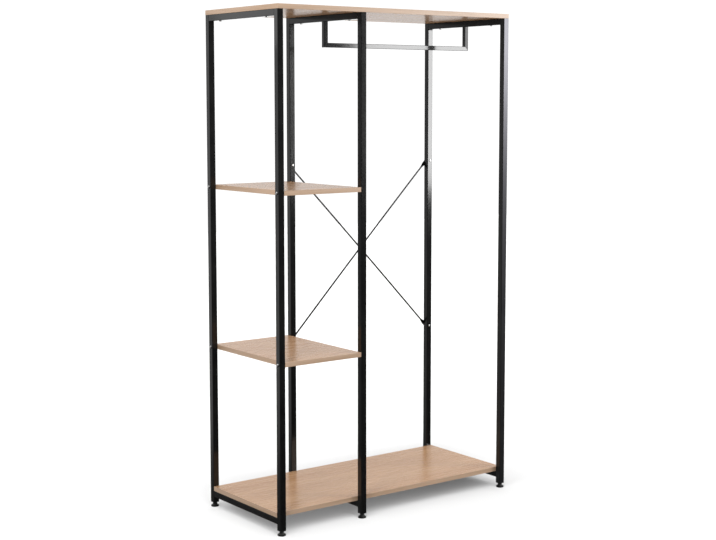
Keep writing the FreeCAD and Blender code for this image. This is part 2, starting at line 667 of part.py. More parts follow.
def foot_base(label):
    """Moulded foot, turned about its stud: a bevelled disc that flares up into a narrow neck."""
    body = new_body(label)
    rim, neck = "Sizes.foot_base_diameter / 2", "Sizes.foot_neck_diameter / 2"
    bore = f"{thread('foot_stud')} / 2"
    flare_top = "(Sizes.foot_base_height + Sizes.foot_flare_height)"
    seat = "(Sizes.foot_height - Sizes.foot_stud_seat)"
    revolve(body, [
        ("0", "0"), (f"{rim} - Sizes.foot_base_bevel", "0"), (rim, "Sizes.foot_base_bevel"),
        (rim, "Sizes.foot_base_height"), (neck, flare_top), (neck, "Sizes.foot_height"),
        (bore, "Sizes.foot_height"), (bore, seat), ("0", seat),
    ])
    return body


def foot_stud(label):
    """Plain stud seated in the foot, with a bevelled upper end."""
    body = new_body(label)
    radius, bevel = "Sizes.foot_stud_diameter / 2", "Sizes.foot_stud_bevel"
    low = "(Sizes.foot_height - Sizes.foot_stud_seat)"
    high = "(Sizes.foot_height + Sizes.foot_stud_reach)"
    revolve(body, [
        ("0", low), (radius, low), (radius, f"{high} - {bevel}"), (f"{radius} - {bevel}", high), ("0", high),
    ])
    return body


for corner, (x, y) in POST_CENTRES.items():
    for piece in (foot_base(f"{corner}_foot"), foot_stud(f"{corner}_foot_stud")):
        place(piece, x, y, "0")
        nodes.append(piece)

# Every piece has to be sound before any is written.
doc.recompute()
for piece in doc.Objects:
    if "Invalid" in piece.State or "Error" in piece.State:
        raise RuntimeError(f"{piece.Label} failed: {piece.State}")
for piece in nodes:
    if piece.Shape.isNull() or not piece.Shape.isValid():
        raise RuntimeError(f"{piece.Label} has no sound shape")

os.makedirs("parts", exist_ok=True)
for piece in nodes:
    piece.Shape.exportStep(f"parts/{piece.Label}.step")
print(f"{len(nodes)} nodes, {sum(len(piece.Shape.Solids) for piece in nodes)} solids")
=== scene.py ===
import math
import bmesh
import bpy
from mathutils import Matrix, Vector


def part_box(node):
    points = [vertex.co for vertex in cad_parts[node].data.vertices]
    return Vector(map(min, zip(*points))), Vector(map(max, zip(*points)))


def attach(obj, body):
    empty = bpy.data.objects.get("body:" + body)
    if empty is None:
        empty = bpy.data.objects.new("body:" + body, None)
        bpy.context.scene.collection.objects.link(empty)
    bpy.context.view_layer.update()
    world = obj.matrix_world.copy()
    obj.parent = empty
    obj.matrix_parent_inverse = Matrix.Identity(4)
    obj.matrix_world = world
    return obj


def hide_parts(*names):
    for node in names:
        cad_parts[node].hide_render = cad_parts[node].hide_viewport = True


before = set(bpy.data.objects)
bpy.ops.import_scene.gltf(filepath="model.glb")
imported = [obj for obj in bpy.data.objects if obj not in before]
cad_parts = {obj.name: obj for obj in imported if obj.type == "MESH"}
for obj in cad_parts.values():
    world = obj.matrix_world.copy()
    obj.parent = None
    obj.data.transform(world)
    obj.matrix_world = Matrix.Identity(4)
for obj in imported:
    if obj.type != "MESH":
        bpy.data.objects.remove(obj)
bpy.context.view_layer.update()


# The three ladder frames: square steel tube, two posts and two crossbars each, arc welded at the corners
# and then powder coated satin black. The coat on the right front post came out duller.
FRAMES = ("left", "middle", "right")
ENDS = ("front", "rear")
LEVELS = ("top", "bottom")
COAT_DARK = (0.0035, 0.0035, 0.0037, 1.0)
COAT_PALE = (0.0065, 0.0064, 0.0063, 1.0)
COAT_IOR = 1.5
FLOW_SCALE = 16.0
FLOW_BAND = (0.3, 0.7)
FLOW_SHARE = 0.6
RUB_SCALE = (220.0, 220.0, 35.0)
PEEL_SCALE = 620.0
PEEL_ROUGHNESS = 0.45
SATIN_GLOSS = (0.10, 0.14)
SATIN_PEEL = 0.000005
MATT_GLOSS = (0.38, 0.44)
MATT_PEEL = 0.000004
SMOOTH_ANGLE = 35.0
BEAD_RADIUS = 0.0032
BEAD_LENGTH = 0.019
BEAD_RIPPLES = 8
BEAD_FACETS = 24
BEAD_TIP_SHARE = 0.45
BEAD_TOE_SHARE = 0.78
BEAD_VALLEY_SHARE = 0.86
BEAD_ANGLE = 60.0


class Wire:
    """The output of a shader node. Arithmetic on it adds Math nodes."""

    def __init__(self, shade, socket):
        self.shade = shade
        self.socket = socket

    def math(self, operation, first, second):
        return self.shade.node("ShaderNodeMath", {"operation": operation}, {0: first, 1: second})[0]

    def __add__(self, other):
        return self.math("ADD", self, other)

    def __sub__(self, other):
        return self.math("SUBTRACT", self, other)

    def __rsub__(self, other):
        return self.math("SUBTRACT", other, self)

    def __mul__(self, other):
        return self.math("MULTIPLY", self, other)

    def __gt__(self, other):
        return self.math("GREATER_THAN", self, other)

    def __lt__(self, other):
        return self.math("LESS_THAN", self, other)

    __radd__ = __add__
    __rmul__ = __mul__


class Shade:
    """The node tree of one finish. A node's outputs are picked by their place in the list."""

    def __init__(self, owner):
        owner.use_nodes = True
        self.tree = owner.node_tree

    def feed(self, socket, value):
        if isinstance(value, Wire):
            self.tree.links.new(value.socket, socket)
        else:
            socket.default_value = value

    def node(self, kind, settings=(), sockets=()):
        made = self.tree.nodes.new(kind)
        for name, value in dict(settings).items():
            setattr(made, name, value)
        for key, value in dict(sockets).items():
            self.feed(made.inputs[key], value)
        return [Wire(self, socket) for socket in made.outputs]

    def place(self):
        """Object coordinates, which stay with the piece."""
        return self.node("ShaderNodeTexCoord")[3]

    def split(self, vector):
        return self.node("ShaderNodeSeparateXYZ", {}, {0: vector})

    def gather(self, x, y, z):
        return self.node("ShaderNodeCombineXYZ", {}, {0: x, 1: y, 2: z})[0]

    def mix(self, share, first, second):
        return self.node("ShaderNodeMix", {"data_type": "RGBA"}, {0: share, 6: first, 7: second})[2]

    def noise(self, place, scale, detail=2.0, roughness=0.5):
        sockets = {"Vector": place, "Scale": scale, "Detail": detail, "Roughness": roughness}
        return self.node("ShaderNodeTexNoise", {}, sockets)[0]

    def stretch(self, place, scale):
        return self.node("ShaderNodeMapping", {}, {"Vector": place, "Scale": scale})[0]

    def band(self, value, low, high):
        settings = {"interpolation_type": "SMOOTHSTEP"}
        return self.node("ShaderNodeMapRange", settings, {0: value, 1: low, 2: high})[0]

    def relief(self, height, depth):
        return self.node("ShaderNodeBump", {}, {"Height": height, "Distance": depth})[0]

    def surface(self, **sockets):
        shader = self.tree.nodes["Principled BSDF"]
        for name, value in sockets.items():
            self.feed(shader.inputs[name.replace("_", " ")], value)


def black_coat(name, gloss, peel_depth):
    material = bpy.data.materials.new(name)
    coat = Shade(material)
    place = coat.place()
    flow = coat.noise(place, FLOW_SCALE, 3.0)
    peel = coat.noise(place, PEEL_SCALE, 2.0, PEEL_ROUGHNESS)
    rubbed = coat.noise(coat.stretch(place, RUB_SCALE), 1.0, 3.0)
    gloss_low, gloss_high = gloss
    wear = flow * FLOW_SHARE + rubbed * (1.0 - FLOW_SHARE)
    coat.surface(
        Base_Color=coat.mix(coat.band(flow, *FLOW_BAND), COAT_DARK, COAT_PALE),
        Roughness=gloss_low + (gloss_high - gloss_low) * wear,
        Normal=coat.relief(peel, peel_depth),
        IOR=COAT_IOR,
    )
    return material


def dress(piece, material):
    if not piece.material_slots:
        piece.data.materials.append(material)
    for slot in piece.material_slots:
        slot.material = material


def dress_nodes(names, material):
    for name in names:
        dress(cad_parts[name], material)


def finish_piece(piece, name, body, material, angle=SMOOTH_ANGLE):
    piece.name = name
    piece.data.name = name
    piece.data.materials.clear()
    dress(piece, material)
    bpy.ops.object.select_all(action="DESELECT")
    piece.select_set(True)
    bpy.context.view_layer.objects.active = piece
    bpy.ops.object.shade_smooth_by_angle(angle=math.radians(angle))
    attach(piece, body)


def copy_of(model, placing):
    twin = model.copy()
    twin.data = model.data.copy()
    twin.data.transform(placing)
    bpy.context.collection.objects.link(twin)
    return twin


def start_edit():
    piece = bpy.context.object
    bpy.ops.object.transform_apply(location=True, rotation=True, scale=True)
    bpy.ops.object.mode_set(mode="EDIT")
    bpy.ops.mesh.select_mode(type="FACE")
    return piece


frame_coat = black_coat("satin_black_powder_coat", SATIN_GLOSS, SATIN_PEEL)
matt_coat = black_coat("matt_black_powder_coat", MATT_GLOSS, MATT_PEEL)
posts = [f"{side}_{end}_post" for side in FRAMES for end in ENDS]
crossbars = [f"{side}_{level}_crossbar" for side in FRAMES for level in LEVELS]
dress_nodes(posts + crossbars, frame_coat)
dress_nodes(["right_front_post"], matt_coat)

# One bead is drawn along the corner in overlapping ripples, then cut back to the quarter round that shows.
bpy.ops.object.select_all(action="DESELECT")
bpy.ops.mesh.primitive_circle_add(
    vertices=BEAD_FACETS,
    radius=BEAD_RADIUS * BEAD_TIP_SHARE,
    fill_type="NGON",
    location=(-BEAD_LENGTH / 2, 0.0, 0.0),
    rotation=(0.0, math.radians(90.0), 0.0),
)
bead = start_edit()
bpy.ops.mesh.select_all(action="SELECT")
ripple = BEAD_LENGTH / (2 * BEAD_RIPPLES)
widths = [BEAD_TOE_SHARE] + [1.0, BEAD_VALLEY_SHARE] * (BEAD_RIPPLES - 1) + [BEAD_TIP_SHARE]
so_far = BEAD_TIP_SHARE
for number, width in enumerate(widths, start=1):
    bpy.ops.mesh.extrude_region_move(TRANSFORM_OT_translate={"value": (ripple, 0.0, 0.0)})
    grow = width / so_far
    ring_centre = (number * ripple - BEAD_LENGTH / 2, 0.0, 0.0)
    bpy.ops.transform.resize(value=(1.0, grow, grow), center_override=ring_centre)
    so_far = width
for outward in ((0.0, -1.0, 0.0), (0.0, 0.0, 1.0)):
    bpy.ops.mesh.select_all(action="SELECT")
    bpy.ops.mesh.bisect(plane_co=(0.0, 0.0, 0.0), plane_no=outward, use_fill=True, clear_outer=True)
bpy.ops.mesh.select_all(action="SELECT")
bpy.ops.mesh.normals_make_consistent(inside=False)
bpy.ops.object.mode_set(mode="OBJECT")
for side in FRAMES:
    for level in LEVELS:
        low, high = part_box(f"{side}_{level}_crossbar")
        centre = (low.x + high.x) / 2
        front_corner = Matrix.Translation((centre, low.y, low.z))
        rear_corner = Matrix.Translation((centre, high.y, low.z)) @ Matrix.Rotation(math.pi, 4, "Z")
        for end, corner in zip(ENDS, (front_corner, rear_corner)):
            weld = copy_of(bead, corner)
            weld_name = f"{side}_{end}_{level}_weld"
            finish_piece(weld, weld_name, "frame", frame_coat, BEAD_ANGLE)
bpy.data.objects.remove(bead)


# The levelling feet: a black moulded plug is driven into each post's lower end, and a moulded foot with a
# zinc plated M8 stud screws up into it.
FOOT_BASE = 0.0131
FOOT_FACETS = 48
FOOT_RINGS = (
    (0.01399, 0.0010),
    (0.01399, 0.0040),
    (0.0136, 0.0050),
    (0.0128, 0.0055),
    (0.0108, 0.0062),
    (0.0094, 0.0072),
    (0.0085, 0.0086),
    (0.0080, 0.0102),
    (0.0078, 0.0104),
    (0.0075, 0.0108),
    (0.0075, 0.0150),
    (0.0069, 0.0158),
)
STUD_PITCH = 0.00125
STUD_CREST = 0.00398
STUD_ROOT = 0.0033
STUD_FLANK_SHARE = 0.45
STUD_FLAT_SHARE = 0.1
STUD_STEPS = 24
STUD_ANGLE = 25.0
SAME_PLACE = 0.00001
PLASTIC_DARK = (0.0045, 0.0045, 0.0047, 1.0)
PLASTIC_PALE = (0.0080, 0.0079, 0.0078, 1.0)
PLASTIC_GLOSS = 0.4
PLASTIC_SMEARED = 0.14
PLASTIC_IOR = 1.49
SMEAR_SCALE = 90.0
SPARK_SCALE = 2600.0
SPARK_DEPTH = 0.00003
ZINC_BLUE = (0.62, 0.64, 0.68, 1.0)
ZINC_WARM = (0.74, 0.72, 0.66, 1.0)
ZINC_GLOSS = 0.2
ZINC_CLOUDED = 0.16
ZINC_GRAINED = 0.06
CLOUD_SCALE = 260.0
CRYSTAL_SCALE = 3800.0
CRYSTAL_DEPTH = 0.00001

plastic = bpy.data.materials.new("moulded_black_plastic")
moulding = Shade(plastic)
moulded_place = moulding.place()
spark = moulding.noise(moulded_place, SPARK_SCALE, 2.0)
smear = moulding.noise(moulded_place, SMEAR_SCALE, 2.0)
moulding.surface(
    Base_Color=moulding.mix(smear, PLASTIC_DARK, PLASTIC_PALE),
    Roughness=PLASTIC_GLOSS + PLASTIC_SMEARED * smear,
    Normal=moulding.relief(spark, SPARK_DEPTH),
    IOR=PLASTIC_IOR,
)
dress_nodes(["post_plugs"], plastic)

bright_zinc = bpy.data.materials.new("bright_zinc_plate")
plating = Shade(bright_zinc)
plated_place = plating.place()
cloud = plating.noise(plated_place, CLOUD_SCALE, 3.0)
crystals = plating.noise(plated_place, CRYSTAL_SCALE, 2.0)
plating.surface(
    Base_Color=plating.mix(cloud, ZINC_BLUE, ZINC_WARM),
    Metallic=1.0,
    Roughness=ZINC_GLOSS + ZINC_CLOUDED * cloud + ZINC_GRAINED * crystals,
    Normal=plating.relief(crystals, CRYSTAL_DEPTH),
)

bpy.ops.object.select_all(action="DESELECT")
bpy.ops.mesh.primitive_circle_add(
    vertices=FOOT_FACETS,
    radius=FOOT_BASE,
    fill_type="NGON",
    location=(0.0, 0.0, 0.0),
)
foot = start_edit()
bpy.ops.mesh.select_all(action="SELECT")
radius = FOOT_BASE
height = 0.0
for ring, level in FOOT_RINGS:
    bpy.ops.mesh.extrude_region_move(TRANSFORM_OT_translate={"value": (0.0, 0.0, level - height)})
    bpy.ops.transform.resize(value=(ring / radius, ring / radius, 1.0), center_override=(0.0, 0.0, level))
    radius = ring
    height = level
bpy.ops.mesh.select_all(action="SELECT")
bpy.ops.mesh.normals_make_consistent(inside=False)
bpy.ops.object.mode_set(mode="OBJECT")

# The stud's thread is one pitch of its profile, wound up the axis.
stud_low, stud_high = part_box("left_front_foot_stud")
bpy.ops.object.select_all(action="DESELECT")
bpy.ops.mesh.primitive_plane_add(size=STUD_PITCH, location=(STUD_ROOT, 0.0, stud_low.z))
stud = start_edit()
bpy.ops.mesh.select_mode(type="VERT")
bpy.ops.mesh.select_all(action="SELECT")
bpy.ops.mesh.merge(type="CENTER")
for out, rise in (
    (STUD_CREST - STUD_ROOT, STUD_FLANK_SHARE),
    (0.0, STUD_FLAT_SHARE),
    (STUD_ROOT - STUD_CREST, STUD_FLANK_SHARE),
):
    bpy.ops.mesh.extrude_region_move(TRANSFORM_OT_translate={"value": (out, 0.0, rise * STUD_PITCH)})
bpy.ops.object.mode_set(mode="OBJECT")
winding = stud.modifiers.new("winding", "SCREW")
winding.axis = "Z"
winding.screw_offset = STUD_PITCH
winding.iterations = int((stud_high.z - stud_low.z) / STUD_PITCH) - 1
winding.steps = STUD_STEPS
winding.render_steps = STUD_STEPS
winding.use_merge_vertices = True
winding.merge_threshold = SAME_PLACE
bpy.ops.object.modifier_apply(modifier="winding")
bpy.ops.object.mode_set(mode="EDIT")
bpy.ops.mesh.select_all(action="SELECT")
bpy.ops.mesh.remove_doubles(threshold=SAME_PLACE)
bpy.ops.mesh.fill_holes(sides=0)
bpy.ops.mesh.select_all(action="SELECT")
bpy.ops.mesh.normals_make_consistent(inside=False)
bpy.ops.object.mode_set(mode="OBJECT")

for side in FRAMES:
    for end in ENDS:
        corner = f"{side}_{end}"
        body = f"{corner}_leveller"
        low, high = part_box(f"{corner}_foot")
        under = Matrix.Translation(((low.x + high.x) / 2, (low.y + high.y) / 2, 0.0))
        moulded = copy_of(foot, under)
        finish_piece(moulded, f"{corner}_moulded_foot", body, plastic)
        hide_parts(f"{corner}_foot")
        threaded = copy_of(stud, under)
        finish_piece(threaded, f"{corner}_threaded_stud", body, bright_zinc, STUD_ANGLE)
        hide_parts(f"{corner}_foot_stud")
bpy.data.objects.remove(foot)
bpy.data.objects.remove(stud)


# The bottom board: chipboard faced with a printed light oak laminate, its cut edges closed by 1 mm strips,
# lying on the three bottom crossbars and drawn down by pan head screws from below.
OAK_PALE = (0.445, 0.262, 0.140, 1.0)
OAK_TAN = (0.365, 0.192, 0.090, 1.0)
OAK_PORE = (0.25, 0.145, 0.078, 1.0)
OAK_GLOSS = 0.24
OAK_IOR = 1.5
STRIP_PALE = (0.456, 0.315, 0.218, 1.0)
STRIP_TAN = (0.37, 0.243, 0.155, 1.0)
STRIP_GLOSS = 0.33
STRIP_TURN_SHARE = 0.5
SWAY_SCALE = (1.1, 3.5, 3.5)
SWAY_REACH = 0.05
PLANK_SCALE = (0.7, 11.0, 11.0)
STREAK_SCALE = (2.6, 75.0, 75.0)
FIBRE_SCALE = (14.0, 640.0, 640.0)
DASH_SCALE = (55.0, 1500.0, 1500.0)
PLANK_SHARE = 0.35
STREAK_SHARE = 0.45
FIBRE_SHARE = 0.2
TONE_BAND = (0.36, 0.64)
PORE_BAND = (0.60, 0.72)
PORE_STREAK_BAND = (0.42, 0.62)
PORE_SHARE = 0.45
FIBRE_DULLING = 0.06
PORE_DULLING = 0.12
FIBRE_RELIEF_SHARE = 0.5
GRAIN_DEPTH = 0.00001
SCREW_HEAD = 0.0045
SCREW_HEAD_HEIGHT = 0.003
SCREW_CROWN = 0.0019
SCREW_CROWN_STEPS = 6
SCREW_SHANK = 0.0019
SCREW_TIP = 0.004
SCREW_POINT = 0.0039
SCREW_POINT_SHARE = 0.08
RECESS_LENGTH = 0.0048
RECESS_WIDTH = 0.0009
RECESS_DEPTH = 0.0017
RECESS_TAPER = 0.5
HEAD_FACETS = 48
FACING_DOWN = -0.9


def oak_print(name, pale, tan, gloss, along_strip):
    material = bpy.data.materials.new(name)
    wood = Shade(material)
    place = wood.place()
    if along_strip:
        facing = wood.split(wood.node("ShaderNodeNewGeometry")[1])[0]
        parts = wood.split(place)
        turned = wood.gather(parts[1], parts[0], parts[2])
        sockets = {0: facing * facing > STRIP_TURN_SHARE, 4: place, 5: turned}
        place = wood.node("ShaderNodeMix", {"data_type": "VECTOR"}, sockets)[1]
    sway = wood.noise(wood.stretch(place, SWAY_SCALE), 1.0, 1.0) * SWAY_REACH
    swayed = {0: place, 1: wood.gather(0.0, sway, sway)}
    grain_place = wood.node("ShaderNodeVectorMath", {"operation": "ADD"}, swayed)[0]
    plank = wood.noise(wood.stretch(grain_place, PLANK_SCALE), 1.0, 2.0)
    streak = wood.noise(wood.stretch(grain_place, STREAK_SCALE), 1.0, 3.0)
    fibre = wood.noise(wood.stretch(grain_place, FIBRE_SCALE), 1.0, 2.0)
    dash = wood.noise(wood.stretch(grain_place, DASH_SCALE), 1.0, 1.0)
    pore = wood.band(dash, *PORE_BAND) * wood.band(streak, *PORE_STREAK_BAND)
    tone = wood.band(plank * PLANK_SHARE + streak * STREAK_SHARE + fibre * FIBRE_SHARE, *TONE_BAND)
    wood.surface(
        Base_Color=wood.mix(pore * PORE_SHARE, wood.mix(tone, pale, tan), OAK_PORE),
        Roughness=gloss + FIBRE_DULLING * fibre + PORE_DULLING * pore,
        Normal=wood.relief(fibre * FIBRE_RELIEF_SHARE - pore, GRAIN_DEPTH),
        IOR=OAK_IOR,
    )
    return material


def cut_out(piece, tool):
    bpy.ops.object.select_all(action="DESELECT")
    bpy.context.view_layer.objects.active = piece
    cutter = piece.modifiers.new("cut", "BOOLEAN")
    cutter.operation = "DIFFERENCE"
    cutter.solver = "EXACT"
    cutter.object = tool
    bpy.ops.object.modifier_apply(modifier="cut")
    bpy.data.objects.remove(tool)


def pick_faces(piece, wanted):
    mesh = bmesh.from_edit_mesh(piece.data)
    for face in mesh.faces:
        face.select_set(wanted(face.calc_center_median(), face.normal))
    bmesh.update_edit_mesh(piece.data)


def pick_rim(piece, level, within=1.0):
    bpy.ops.mesh.select_mode(type="EDGE")
    mesh = bmesh.from_edit_mesh(piece.data)
    for edge in mesh.edges:
        ends = [end.co for end in edge.verts]
        on_level = all(abs(end.z - level) < SAME_PLACE for end in ends)
        edge.select_set(on_level and all(end.xy.length < within for end in ends))
    bmesh.update_edit_mesh(piece.data)


# A screw or a bolt is modelled head up, with the seat of its head at the origin.
def headed(radius, height, crown, segments, shank, reach):
    bpy.ops.object.select_all(action="DESELECT")
    middle = (0.0, 0.0, height / 2)
    bpy.ops.mesh.primitive_cylinder_add(vertices=HEAD_FACETS, radius=radius, depth=height, location=middle)
    piece = start_edit()
    pick_faces(piece, lambda centre, normal: normal.z < FACING_DOWN)
    bpy.ops.mesh.inset(thickness=radius - shank, depth=0.0)
    bpy.ops.mesh.extrude_region_move(TRANSFORM_OT_translate={"value": (0.0, 0.0, -reach)})
    bpy.ops.mesh.select_all(action="DESELECT")
    pick_rim(piece, height)
    bpy.ops.mesh.bevel(offset=crown, segments=segments, profile=0.5, affect="EDGES", clamp_overlap=True)
    bpy.ops.object.mode_set(mode="OBJECT")
    return piece


def joined(twins):
    bpy.ops.object.select_all(action="DESELECT")
    for twin in twins:
        twin.select_set(True)
    bpy.context.view_layer.objects.active = twins[0]
    bpy.ops.object.join()
    return bpy.context.object


def board_screws(node, name):
    low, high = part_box(node)
    reach = high.z - low.z - SCREW_HEAD_HEIGHT - SCREW_TIP
    screw = headed(SCREW_HEAD, SCREW_HEAD_HEIGHT, SCREW_CROWN, SCREW_CROWN_STEPS, SCREW_SHANK, reach)
    bpy.ops.object.mode_set(mode="EDIT")
    bpy.ops.mesh.select_mode(type="FACE")
    pick_faces(screw, lambda centre, normal: abs(centre.z + reach) < SAME_PLACE and normal.z < FACING_DOWN)
    bpy.ops.mesh.extrude_region_move(TRANSFORM_OT_translate={"value": (0.0, 0.0, -SCREW_POINT)})
    point = (SCREW_POINT_SHARE, SCREW_POINT_SHARE, 1.0)
    bpy.ops.transform.resize(value=point, center_override=(0.0, 0.0, -reach - SCREW_POINT))
    bpy.ops.object.mode_set(mode="OBJECT")
    for turn in (0.0, 90.0):
        bpy.ops.object.select_all(action="DESELECT")
        bpy.ops.mesh.primitive_cube_add(size=1.0, location=(0.0, 0.0, SCREW_HEAD_HEIGHT))
        bpy.context.object.rotation_euler.z = math.radians(turn)
        bpy.context.object.scale = (RECESS_LENGTH, RECESS_WIDTH, 2 * RECESS_DEPTH)
        blade = start_edit()
        pick_faces(blade, lambda centre, normal: normal.z < FACING_DOWN)
        taper = (RECESS_TAPER, RECESS_TAPER, 1.0)
        bpy.ops.transform.resize(value=taper, center_override=(0.0, 0.0, SCREW_HEAD_HEIGHT - RECESS_DEPTH))
        bpy.ops.object.mode_set(mode="OBJECT")
        cut_out(screw, blade)
    heads_down = Matrix.Rotation(math.pi, 4, "X")
    twins = []
    for side in FRAMES:
        bar_low, bar_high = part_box(f"{side}_top_crossbar")
        for along in (low.y + SCREW_HEAD, high.y - SCREW_HEAD):
            seat = ((bar_low.x + bar_high.x) / 2, along, low.z + SCREW_HEAD_HEIGHT)
            twins.append(copy_of(screw, Matrix.Translation(seat) @ heads_down))
    bpy.data.objects.remove(screw)
    screws = joined(twins)
    finish_piece(screws, name, "frame", bright_zinc)
    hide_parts(node)


oak_face = oak_print("light_oak_laminate", OAK_PALE, OAK_TAN, OAK_GLOSS, False)
oak_strip = oak_print("oak_edge_strip", STRIP_PALE, STRIP_TAN, STRIP_GLOSS, True)
dress_nodes(["bottom_board"], oak_face)
dress_nodes(["bottom_board_edging"], oak_strip)
board_screws("bottom_board_screws", "bottom_pan_screws")


# The two shelves of the narrow bay: the same laminated board, hung between the left and middle posts on
# button head bolts that draw up threaded inserts in the shelf ends.
DOME_SHARE = 0.86
DOME_STEPS = 8
KEY_SHARE = 1.1
KEY_POINT_SHARE = 0.15
KEY_POINT_TAPER = 0.1
SHELF_BOLT_HEAD = 0.00525
SHELF_BOLT_HEIGHT = 0.003
SHELF_BOLT_SHANK = 0.00295
SHELF_BOLT_REACH = 0.0348
SHELF_BOLT_SOCKET = 0.0023

dress_nodes(["upper_shelf", "lower_shelf"], oak_face)
dress_nodes(["upper_shelf_edging", "lower_shelf_edging"], oak_strip)
dress_nodes(["shelf_inserts"], bright_zinc)


# The key that cuts the socket is turned by half a facet, so that its corners miss the edges of the head.
def button_bolt(head, height, shank, reach, socket):
    bolt = headed(head, height, height * DOME_SHARE, DOME_STEPS, shank, reach)
    bpy.ops.object.select_all(action="DESELECT")
    depth = height * KEY_SHARE
    bpy.ops.mesh.primitive_cylinder_add(vertices=6, radius=socket, depth=depth, location=(0.0, 0.0, height))
    bpy.context.object.rotation_euler.z = math.pi / HEAD_FACETS
    key = start_edit()
    pick_faces(key, lambda centre, normal: normal.z < FACING_DOWN)
    point = height * KEY_POINT_SHARE
    bpy.ops.mesh.extrude_region_move(TRANSFORM_OT_translate={"value": (0.0, 0.0, -point)})
    taper = (KEY_POINT_TAPER, KEY_POINT_TAPER, 1.0)
    bpy.ops.transform.resize(value=taper, center_override=(0.0, 0.0, height - depth / 2 - point))
    bpy.ops.object.mode_set(mode="OBJECT")
    cut_out(bolt, key)
    return bolt


low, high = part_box("shelf_bolts")
shelf_bolt = button_bolt(
    SHELF_BOLT_HEAD, SHELF_BOLT_HEIGHT, SHELF_BOLT_SHANK, SHELF_BOLT_REACH, SHELF_BOLT_SOCKET
)
head_left = Matrix.Rotation(-math.pi / 2, 4, "Y")
head_right = Matrix.Rotation(math.pi / 2, 4, "Y")
twins = []
for level in (low.z + SHELF_BOLT_HEAD, high.z - SHELF_BOLT_HEAD):
    for along in (low.y + SHELF_BOLT_HEAD, high.y - SHELF_BOLT_HEAD):
        left_seat = Matrix.Translation((low.x + SHELF_BOLT_HEIGHT, along, level))
        right_seat = Matrix.Translation((high.x - SHELF_BOLT_HEIGHT, along, level))
        twins.append(copy_of(shelf_bolt, left_seat @ head_left))
        twins.append(copy_of(shelf_bolt, right_seat @ head_right))
bpy.data.objects.remove(shelf_bolt)
button_bolts = joined(twins)
finish_piece(button_bolts, "shelf_button_bolts", "frame", bright_zinc)
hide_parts("shelf_bolts")


# The top board: the same laminated board, lying over all three frames and held by pan head screws from
# below, up through the crossbars.
dress_nodes(["top_board"], oak_face)
dress_nodes(["top_board_edging"], oak_strip)
board_screws("top_board_screws", "top_pan_screws")


# The hanging rail: smaller square tube, mitred at its two corners and coated a little glossier than the
# frames, apart from its duller right drop. A bolt goes down through each crossbar into a plug in the
# drop's upper end.
RAIL_GLOSS = (0.08, 0.12)
RAIL_PEEL = 0.000004

rail_coat = black_coat("semi_gloss_rail_coat", RAIL_GLOSS, RAIL_PEEL)
dress_nodes(["rail_bar", "rail_left_drop"], rail_coat)
dress_nodes(["rail_right_drop"], matt_coat)
dress_nodes(["rail_bolts"], bright_zinc)
dress_nodes(["rail_plugs"], plastic)


# The brace: two coated round rods, pressed flat and drilled at their ends, crossed behind the wide bay and
# held by a zinc button head bolt and a chamfered nut at each end.
BRACE_BOLT_HEAD = 0.00475
BRACE_BOLT_HEIGHT = 0.0026
BRACE_BOLT_SHANK = 0.00245
BRACE_BOLT_SOCKET = 0.0019
NUT_CORNER = 0.0046
NUT_TURNED = 0.00475
NUT_TURNED_FACETS = 56
NUT_TURN = math.radians(1.7)
NUT_CHAMFER = 0.00105
NUT_OVERRUN = 0.0002
NUT_BORE = 0.00252
NUT_BORE_FACETS = 32
NUT_RIM_SHARE = 1.1
NUT_SINK = 0.0004

dress_nodes(["brace_falling", "brace_rising"], frame_coat)
low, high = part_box("brace_bolts")
bolt_reach = high.y - low.y - BRACE_BOLT_HEIGHT
brace_bolt = button_bolt(
    BRACE_BOLT_HEAD, BRACE_BOLT_HEIGHT, BRACE_BOLT_SHANK, bolt_reach, BRACE_BOLT_SOCKET
)
brace_ends = [
    (across, level)
    for across in (low.x + BRACE_BOLT_HEAD, high.x - BRACE_BOLT_HEAD)
    for level in (low.z + BRACE_BOLT_HEAD, high.z - BRACE_BOLT_HEAD)
]
head_front = Matrix.Rotation(math.pi / 2, 4, "X")
twins = []
for across, level in brace_ends:
    seat = Matrix.Translation((across, low.y + BRACE_BOLT_HEIGHT, level))
    twins.append(copy_of(brace_bolt, seat @ head_front))
bpy.data.objects.remove(brace_bolt)
brace_bolts = joined(twins)
finish_piece(brace_bolts, "brace_button_bolts", "frame", bright_zinc)
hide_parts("brace_bolts")

# A nut is a hexagon whose corners are cut back by a chamfered round, then bored and countersunk.
nut_low, nut_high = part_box("brace_nuts")
nut_height = nut_high.y - nut_low.y
nut_middle = (0.0, 0.0, nut_height / 2)
turned_height = nut_height + 2 * NUT_OVERRUN
bpy.ops.object.select_all(action="DESELECT")
bpy.ops.mesh.primitive_cylinder_add(vertices=6, radius=NUT_CORNER, depth=nut_height, location=nut_middle)
nut = start_edit()
bpy.ops.object.mode_set(mode="OBJECT")
bpy.ops.object.select_all(action="DESELECT")
bpy.ops.mesh.primitive_cylinder_add(
    vertices=NUT_TURNED_FACETS, radius=NUT_TURNED, depth=turned_height, location=nut_middle
)
bpy.context.object.rotation_euler.z = NUT_TURN
turned = start_edit()
for level in (-NUT_OVERRUN, nut_height + NUT_OVERRUN):
    bpy.ops.mesh.select_all(action="DESELECT")
    pick_rim(turned, level)
    bpy.ops.mesh.bevel(offset=NUT_CHAMFER, segments=1, affect="EDGES")
bpy.ops.object.mode_set(mode="OBJECT")
bpy.context.view_layer.objects.active = nut
corners = nut.modifiers.new("corners", "BOOLEAN")
corners.operation = "INTERSECT"
corners.solver = "EXACT"
corners.object = turned
bpy.ops.object.modifier_apply(modifier="corners")
bpy.data.objects.remove(turned)
bpy.ops.object.select_all(action="DESELECT")
bpy.ops.mesh.primitive_cylinder_add(
    vertices=NUT_BORE_FACETS, radius=NUT_BORE, depth=turned_height, location=nut_middle
)
bore = start_edit()
bpy.ops.object.mode_set(mode="OBJECT")
cut_out(nut, bore)
